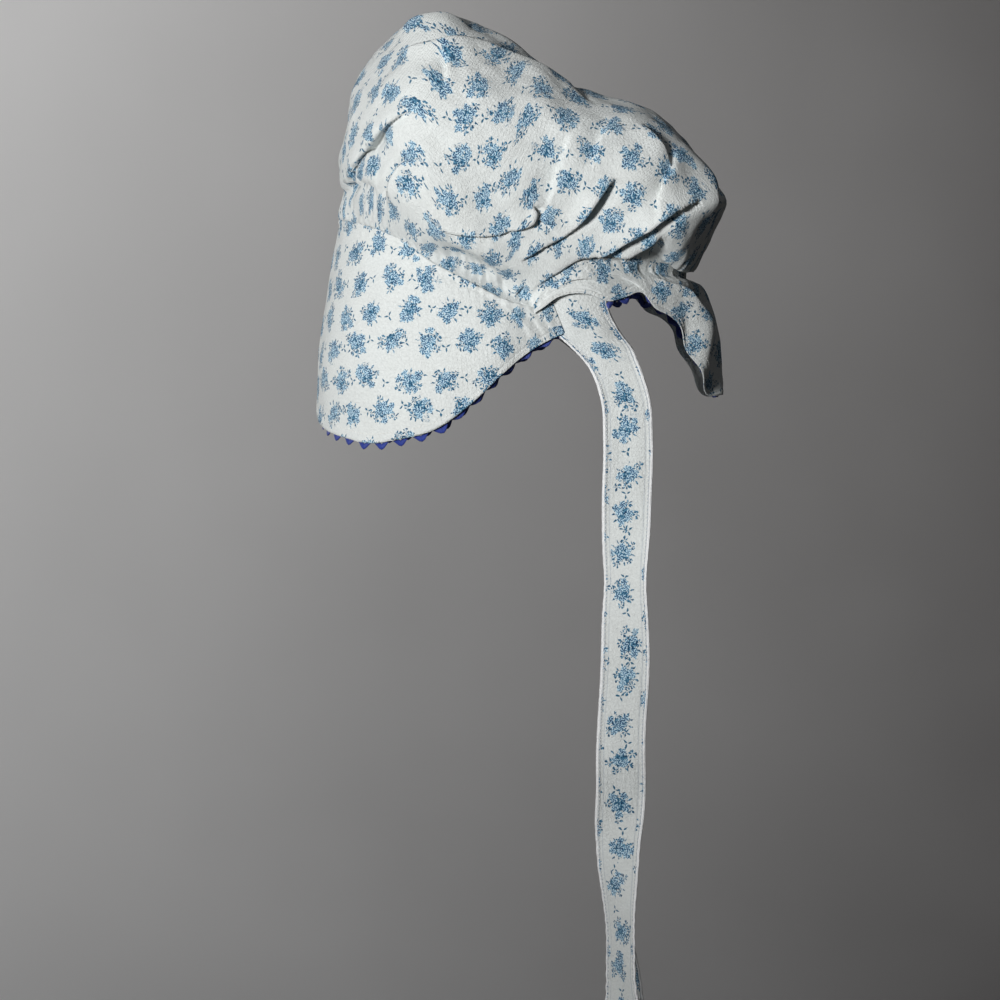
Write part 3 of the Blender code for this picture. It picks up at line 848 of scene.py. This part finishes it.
def brim_form(rows, cols):
    """The brim before its relief, and each point's share of the way down and out to the ear."""
    down, side = np.meshgrid(np.linspace(0, 1, rows + 1), np.linspace(-1, 1, cols + 1), indexing="ij")
    reach = np.abs(side)
    top, edge = mirrored(SEAM_LINE(reach), side), mirrored(EDGE_LINE(reach), side)
    length = np.linalg.norm(edge - top, axis=-1, keepdims=True)
    # The last of the brim at the ear goes up under the end of the curtain.
    lap = SEAM_LAP + 14.5 * ease((top[..., 1:2] - 8) / 19)
    top = top - (edge - top) * lap / length
    points = top + (edge - top) * down[..., None]
    swell = BRIM_SWELL * np.sin(math.pi * down) * (1 - reach**4)
    return points - normals(points) * swell[..., None], down, reach


# %% Brim relief
brim, down, reach = brim_form(72, 330)
out = -normals(brim)
fall = lengths(brim, 0)
to_edge = fall[-1] - fall
walk = lengths(brim, 1)
relief = 1.1 * bumps(brim, 55, 21) + 0.4 * bumps(brim, 20, 22)
# The welt at the seam with a groove below it, and small puckers.
relief += 0.8 * np.exp(-(((fall - 1.6) / 1.5) ** 2)) - 0.4 * np.exp(-(((fall - 4.6) / 1.3) ** 2))
relief += 0.5 * pleats(walk[0] + 0 * walk, 8.0, fall, 23) * np.exp(-fall / 8)
# The line of stitches draws a groove, and puckers the edge below it.
relief -= 0.35 * np.exp(-(((to_edge - HEM_DEPTH) / 0.9) ** 2))
relief += 0.3 * pleats(walk[-1] + 0 * walk, 6.0, to_edge, 24) * np.exp(-to_edge / 6)
relief *= ease((0.5 + to_edge) / 2.0)
relief += 0.4 * np.exp(-((fall / 1.2) ** 2))
# The ends lie down on the ties, and no tuck lifts them.
relief -= 1.5 * (1 - ease((1 - reach) / 0.035))
moves = fold_moves(brim, out, BRIM_FOLDS) * ease((brim[..., 0] - 60) / 20)[..., None]
moves *= (ease(np.minimum(fall, to_edge) / 6.0) * ease((1 - reach) / 0.035))[..., None]
relief *= 0.3 + 0.7 * ease((1 - reach) / 0.03)
brim = lifted(brim + moves + out * relief[..., None])
brim_out = -normals(brim)

# %% Brim piece
mesh, row, col = grid_mesh("brim_cloth", brim, outward=False)
brim_flat = spread_flat(brim, 3, lambda p: p[..., 0] > 85)
# The tucks at its ends take up cloth.
brim_flat[..., 0] -= np.sign(brim[..., 0]) * 20.0 * ease((brim[..., 1] + 14) / 44)
lay_map(mesh, row, col, brim_flat)
brim_piece = place_piece("brim_cloth", mesh, (cotton_face,), "brim")
wall(brim_piece, 1.8, False)
brim_area = say(brim_piece, brim)

# %% [markdown]
# ## Neck curtain
#
# The curtain is gathered into the nape seam and falls in soft flutes. Its two ends lie over
# the roots of the ties as short strips. On the near side one flute has swung over its back.

# %% Curtain form
CURTAIN_SWELL, BACK_SWELL, FLUTE_DEPTH, FLUTES_ROUND = 6.0, 5.5, 2.4, 9
CURTAIN_PLAIN, CURTAIN_FULL = 28.0, 40.0
CLOTH = 1.8
CURTAIN_FOLDS = (
    # as the crown's folds: the near flute over the back of the curtain, and creases by the tie
    (9, ((143, -238, 5, 3, 3), (138.6, -212, 6, 4, 4), (135.7, -194, 6, 4, 4), (133.6, -182, 6, 4, 4),
         (126.3, -171, 6, 4, 3), (119, -161, 4, 3, 2), (106, -156, 2, 2, 1), (96, -152, 0, 0, 0))),
    (5, ((24, -163, 0, 0, 0), (36, -157, 1.5, 1, 1), (48, -156, 1.5, 1, 1), (60, -160, 0, 0, 0))),
    (4, ((60, -152, 0, 0, 0), (70, -153, 1.5, 1, 1), (80, -157, 1.5, 1, 1), (88, -164, 0, 0, 0))),
)


def curtain_form(rows, cols):
    """The curtain with its flutes, each point's share down and out to the ear, and its depth there."""
    down, side = np.meshgrid(np.linspace(0, 1, rows + 1), np.linspace(-1, 1, cols + 1), indexing="ij")
    reach = np.abs(side)
    top, hem = mirrored(CURTAIN_TOP(1 - reach), side), mirrored(HEM_LINE(1 - reach), side)
    length = np.linalg.norm(hem - top, axis=-1, keepdims=True)
    top = top - (hem - top) * SEAM_LAP / length
    points = top + (hem - top) * down[..., None]
    tall = ease((length[..., 0] - CURTAIN_PLAIN) / CURTAIN_FULL)
    swell = CURTAIN_SWELL * tall * np.sin(math.pi * down**0.6)
    swell += BACK_SWELL * tall * np.exp(-((reach / 0.45) ** 2)) * np.sin(math.pi * down**0.8)
    flutes = FLUTE_DEPTH * tall * ease(down) * np.cos(math.pi * FLUTES_ROUND * side)
    return lifted(points + normals(points) * (swell + flutes)[..., None]), down, reach, length[..., 0]


# %% Curtain relief
curtain, down, reach, length = curtain_form(64, 360)
out = normals(curtain)
fall = lengths(curtain, 0)
to_edge = fall[-1] - fall
walk = lengths(curtain, 1)
relief = 0.6 * pleats(walk[0] + 0 * walk, 8.5, fall, 31) * np.exp(-fall / 12) * ease((length - 14) / 30)
relief += 0.4 * pleats(walk[0] + 0 * walk, 6.0, fall, 33) * np.exp(-fall / 8)
# Under the overhang of the puff the back is drawn in, so that shadow parts the two.
relief -= 6.5 * ease((curtain[..., 1] - 74) / 16) * np.exp(-(((fall - 7) / 6) ** 2))
relief += 0.9 * bumps(curtain, 30, 34) + 0.3 * bumps(curtain, 12, 35)
relief -= 0.4 * np.exp(-(((to_edge - HEM_DEPTH) / 1.0) ** 2))
relief *= ease(np.minimum(fall, to_edge) / 3.0)
relief += 0.8 * np.exp(-((fall / 1.5) ** 2))
moves = fold_moves(curtain, out, CURTAIN_FOLDS) * ease((curtain[..., 0] - 15) / 20)[..., None]
curtain = curtain + moves * ease(fall / 8.0)[..., None] + out * relief[..., None]
curtain_out = normals(curtain)

# %% Curtain piece
mesh, row, col = grid_mesh("curtain_cloth", curtain)
curtain_flat = spread_flat(curtain, 3, lambda p: p[..., 1] > 60)
lay_map(mesh, row, col, curtain_flat)
curtain_piece = place_piece(
    "curtain_cloth", mesh, (cotton_face, cotton_back), "neck_curtain"
)
wall(curtain_piece, 0.6, True)
say(curtain_piece, curtain)

# %% [markdown]
# ## Ties
#
# Each tie is a straight strip about 35 mm wide and hemmed on both long sides. It hangs in
# slow turns of its own. A table gives its middle, its width and its turn at each height.
# Its hems stand up as thin rolls, with a groove beside them where the stitches pull.

# %% Tie form
TIE_SECTIONS = (
    # z, middle y, level width, turn in degrees
    (-166, 37, 46, -2),
    (-178, 38.5, 49, -2),
    (-193, 47.5, 47, -2),
    (-204, 57, 43, 0),
    (-213, 63, 38, 0),
    (-239, 73, 35, 0),
    (-267, 75, 35, 0),
    (-313, 74, 35, 8),
    (-366, 73, 35, 32),
    (-425, 73, 35, 12),
    (-481, 70, 35, 12),
    (-514, 70, 35, 0),
    (-551, 68, 35, 28),
    (-600, 69, 35, 52),
    (-640, 70, 35, 58),
    (-700, 73, 35, 34),
)
TIE_OUT, TIE_FLARE, FAR_TIE_BACK = 97.2, 4.0, 7.6
TIE_LENGTH_STEPS, TIE_WIDTH_STEPS = 300, 20


def tie_form(side, back, seed):
    """The tie's outer face, its flat map and each point's distance from the nearer edge."""
    middle, width, turn = columns([(-row[0], *row[1:]) for row in TIE_SECTIONS])
    drop = np.linspace(-TIE_SECTIONS[0][0], -TIE_SECTIONS[-1][0], TIE_LENGTH_STEPS + 1)
    hang = ease((drop - drop[0]) / (drop[-1] - drop[0]) * 4)
    lift = FAR_LIFT if side < 0 else 0.0
    slip = back * ease((drop - drop[0]) / 70)
    centres = np.stack([TIE_OUT + TIE_FLARE * hang, middle(drop) + slip, lift - drop], -1)
    angle = np.radians(turn(drop))
    across = np.stack([np.sin(angle), np.cos(angle), np.zeros_like(angle)], -1)
    facing = unit(np.cross(np.gradient(centres, axis=0), across))
    share = np.linspace(-1, 1, TIE_WIDTH_STEPS + 1)
    share = np.sign(share) * np.abs(share) ** 0.8
    points = centres[:, None] + across[:, None] * (width(drop)[:, None] * share / 2)[..., None]
    walked = lengths(centres[:, None], 0)
    flat = np.stack([walked + 0 * share, width(drop)[:, None] * share / 2 * side], -1)
    edge = (1 - np.abs(share)) * width(drop)[:, None] / 2
    relief = 0.7 * np.exp(-(((edge - 1.2) / 1.6) ** 2)) - 0.45 * np.exp(-(((edge - 4.0) / 0.8) ** 2))
    relief += 0.8 * bumps(points, 34, seed)
    relief += 0.35 * pleats(flat[..., 0], 9.0, edge, seed + 1) * np.exp(-edge / 5)
    relief += 0.6 * bumps(points * (1, 1, 0.35), 13, seed + 3)
    relief *= ease(walked / 20)
    # At the root the sides bend in, under the brim's end and the curtain's.
    relief -= 5.5 * share**2 * (1 - ease((walked - 24) / 30))
    points = points + facing[:, None] * relief[..., None]
    for vectors in (points, facing):
        vectors[..., 0] *= side
    return points, flat, edge, facing


# %% Tie pieces
ties = {}
for name, side_sign, back, seed in (("tie_left", 1, 0.0, 41), ("tie_right", -1, FAR_TIE_BACK, 51)):
    points, flat, edge, facing = tie_form(side_sign, back, seed)
    mesh, row, col = grid_mesh(name + "_cloth", points, outward=side_sign < 0)
    lay_map(mesh, row, col, flat + (seed * STEP + 8.0, -1.5))
    mesh.attributes.new("edge_mm", "FLOAT", "POINT").data.foreach_set("value", edge[row, col])
    piece = place_piece(name + "_cloth", mesh, (cotton_hemmed,), name)
    wall(piece, 0.7, False)
    ties[name] = (piece, points, facing, edge)
    say(piece, points)

# %% [markdown]
# ## Rickrack
#
# The braid is sewn behind the free edge, so only the lower half of each wave shows. Its
# section is a flat oval swept along a wave that follows the edge. Beside the tie the
# curtain's braid lies higher up behind the cloth and is hidden, and the wave is flatter there
# and along the slanting parts of the brim.

# %% Rickrack
BRAID_PITCH, BRAID_SWING, BRAID_WIDTH, BRAID_CLOTH = 16.0, 3.0, 4.2, 1.2
# How far the middle of the wave lies below the edge, and the gap behind the cloth.
BRAID_DROP, BRAID_GAP = -0.4, 0.7
STEPS_PER_WAVE, ROUND = 14, 8


def braid(name, node, sheet, out, cloth, first, last, tucked):
    """The wavy braid behind a sheet's lowest row, from column share first to last.

    tucked says where it lies higher up behind the cloth, between two shares of the way from
    the ear to the middle, by how many rows, and how much of its wave is left there.
    """
    edge, above, facing = along(sheet[-1]), along(sheet[-4]), along(sheet[-1] + out[-3])
    walked = np.linalg.norm(np.diff(sheet[-1], axis=0), axis=1).sum() * (last - first)
    waves = round(walked / BRAID_PITCH)
    share = np.linspace(first, last, waves * STEPS_PER_WAVE + 1)
    from_end = 1 - np.abs(2 * share - 1)
    there = ease((from_end - tucked[0]) / 0.05) - ease((from_end - tucked[1]) / 0.05)
    base = edge(share)
    base += (along(sheet[-1 - tucked[2]])(share) - base) * there[:, None]
    ahead = unit(np.gradient(base, axis=0))
    below = edge(share) - above(share)
    below = unit(below - ahead * (below * ahead).sum(-1, keepdims=True))
    outward = facing(share) - edge(share)
    outward = unit(outward - below * (outward * below).sum(-1, keepdims=True))
    wave = 2 * math.pi * waves * (share - first) / (last - first)
    swing = np.cos(wave) + 0.08 * np.cos(3 * wave)
    inset = cloth + BRAID_GAP + BRAID_CLOTH / 2
    swing = BRAID_SWING * swing * (1 + (tucked[3] - 1) * there)
    centres = base + below * (BRAID_DROP + swing)[:, None] - outward * inset
    ahead = unit(np.gradient(centres, axis=0))
    sideways = unit(np.cross(outward, ahead))
    turn = np.linspace(0, 2 * math.pi, ROUND + 1)
    wide = np.sign(np.cos(turn)) * np.abs(np.cos(turn)) ** 0.6 * BRAID_WIDTH / 2
    thick = np.sign(np.sin(turn)) * np.abs(np.sin(turn)) ** 0.6 * BRAID_CLOTH / 2
    points = (centres[:, None] + sideways[:, None] * wide[None, :, None]
              + outward[:, None] * thick[None, :, None])
    mesh, row, col = grid_mesh(name, points)
    steps = lengths(centres[:, None], 0)[:, 0]
    lay_map(mesh, row, col, np.stack(np.broadcast_arrays(steps[:, None], turn * 1.6), -1))
    bm = bmesh.new()
    bm.from_mesh(mesh)
    bmesh.ops.remove_doubles(bm, verts=bm.verts, dist=0.01 * MM)
    bmesh.ops.holes_fill(bm, edges=[e for e in bm.edges if e.is_boundary])
    bmesh.ops.recalc_face_normals(bm, faces=bm.faces)
    bm.to_mesh(mesh)
    bm.free()
    mesh.shade_smooth()
    print(f"{name}: {waves} waves over {walked:.0f} mm")
    return place_piece(name, mesh, (braid_blue,), node)


brim_braid = braid(
    "brim_rickrack_braid", "brim_rickrack", brim, brim_out, BRIM_CLOTH,
    first=0.0, last=1.0, tucked=(-1.0, 0.36, 0, 0.5),
)
curtain_braid = braid(
    "curtain_rickrack_braid", "curtain_rickrack", curtain, curtain_out, CLOTH,
    first=0.13, last=0.87, tucked=(0.37, 0.93, 13, 0.6),
)

# %% [markdown]
# ## Stitches
#
# Machine stitches are small and even, about 2.6 mm long. Each is a drawn-out ball that lies
# in the surface, and a whole line of them is one piece.

# %% Stitches
STITCH, STITCH_LONG, STITCH_THICK = 2.6, 1.9, 0.45


def stitches(name, line, out):
    """A line of stitches along points, lying on the side that out points to."""
    walked = lengths(line[:, None], 0)[:, 0]
    at = np.arange(STITCH, walked[-1] - STITCH, STITCH)
    centres = np.stack([np.interp(at, walked, line[:, k]) for k in range(3)], -1)
    ahead = unit(np.stack([np.interp(at, walked, v) for v in unit(np.gradient(line, axis=0)).T], -1))
    up = unit(np.stack([np.interp(at, walked, v) for v in out.T], -1))
    bm = bmesh.new()
    for centre, forward, lift in zip(centres, ahead, up):
        sideways = np.cross(lift, forward)
        turn = Matrix(np.column_stack([forward, sideways, lift]).tolist()).to_4x4()
        size = Matrix.Diagonal((STITCH_LONG / 2 * MM, STITCH_THICK / 2 * MM, STITCH_THICK / 2 * MM, 1))
        move = Matrix.Translation(Vector((centre + lift * 0.12) * MM))
        bmesh.ops.create_icosphere(bm, subdivisions=1, radius=1.0, matrix=move @ turn @ size)
    mesh = bpy.data.meshes.new(name)
    bm.to_mesh(mesh)
    bm.free()
    mesh.shade_smooth()
    return place_piece(name, mesh, (white_thread,), None)


def row_inside(sheet, inset):
    """The row of a sheet that lies about inset mm inside its free edge."""
    walked = lengths(sheet, 0)
    return int(np.argmin(np.abs(np.median(walked[-1] - walked, axis=1) - inset)))


# %% Lines of stitches
brim_row, curtain_row = row_inside(brim, HEM_DEPTH), row_inside(curtain, HEM_DEPTH)
brim_stitches = stitches("brim_stitches", brim[brim_row], brim_out[brim_row])
curtain_stitches = stitches("curtain_stitches", curtain[curtain_row], curtain_out[curtain_row])
print("stitches along row", brim_row, "of the brim and", curtain_row, "of the curtain")
for name, (piece, points, facing, edge) in ties.items():
    for column in (2, TIE_WIDTH_STEPS - 2):
        stitches(f"{name}_stitches_{column}", points[:, column], facing)

# %% [markdown]
# ## Floor and backdrop
#
# One grey bowl stands for floor and wall. Painted shade makes it pale before the bonnet and darker behind
# it, with a faint random mottle.
# Its outline is a floor, a bend and a wall, spun once round.

# %% Backdrop colour with painted shade
backdrop_grey_painted_shade, tree, shader = new_material("grey matt backdrop with painted shade to one side")
place = add(tree, "TexCoord").outputs["Object"]
shade = add(tree, "TexNoise", place, Scale=1.5, Detail=2.0)
# Painted shade: the grey darkens towards +Y, behind the bonnet, as light falls off on that side of the
# room.
shade = add(tree, "Math MULTIPLY_ADD", shade, 0.5, add(tree, "SeparateXYZ", place).outputs["Y"])
shade = add(tree, "MapRange", shade, From_Min=-1.1, From_Max=1.9)
colour = add(tree, "MixRGB", shade, linear("#F3F2F1"), linear("#858281"))
tree.links.new(colour.outputs["Color"], shader.inputs["Base Color"])
shader.inputs["Roughness"].default_value = 0.95

# %% Backdrop
FLOOR_AT, FLOOR_REACH, BEND, WALL_TOP = -1.6, 4.6, 1.6, 3.4
bm = bmesh.new()
profile = [bm.verts.new((r, 0, FLOOR_AT)) for r in (0.0, FLOOR_REACH)]
for a in np.linspace(0.15, math.pi / 2, 12):
    profile.append(
        bm.verts.new((FLOOR_REACH + BEND * math.sin(a), 0, FLOOR_AT + BEND * (1 - math.cos(a))))
    )
profile.append(bm.verts.new((FLOOR_REACH + BEND, 0, WALL_TOP)))
edges = [bm.edges.new(pair) for pair in zip(profile, profile[1:])]
bmesh.ops.spin(
    bm, geom=profile + edges, cent=(0, 0, 0), axis=(0, 0, 1), angle=2 * math.pi, steps=96, use_merge=True
)
bmesh.ops.remove_doubles(bm, verts=bm.verts, dist=0.001)
bmesh.ops.recalc_face_normals(bm, faces=bm.faces)
mesh = bpy.data.meshes.new("backdrop")
bm.to_mesh(mesh)
bm.free()
mesh.shade_smooth()
mesh.materials.append(backdrop_grey_painted_shade)
backdrop = bpy.data.objects.new("backdrop", mesh)
bpy.context.scene.collection.objects.link(backdrop)
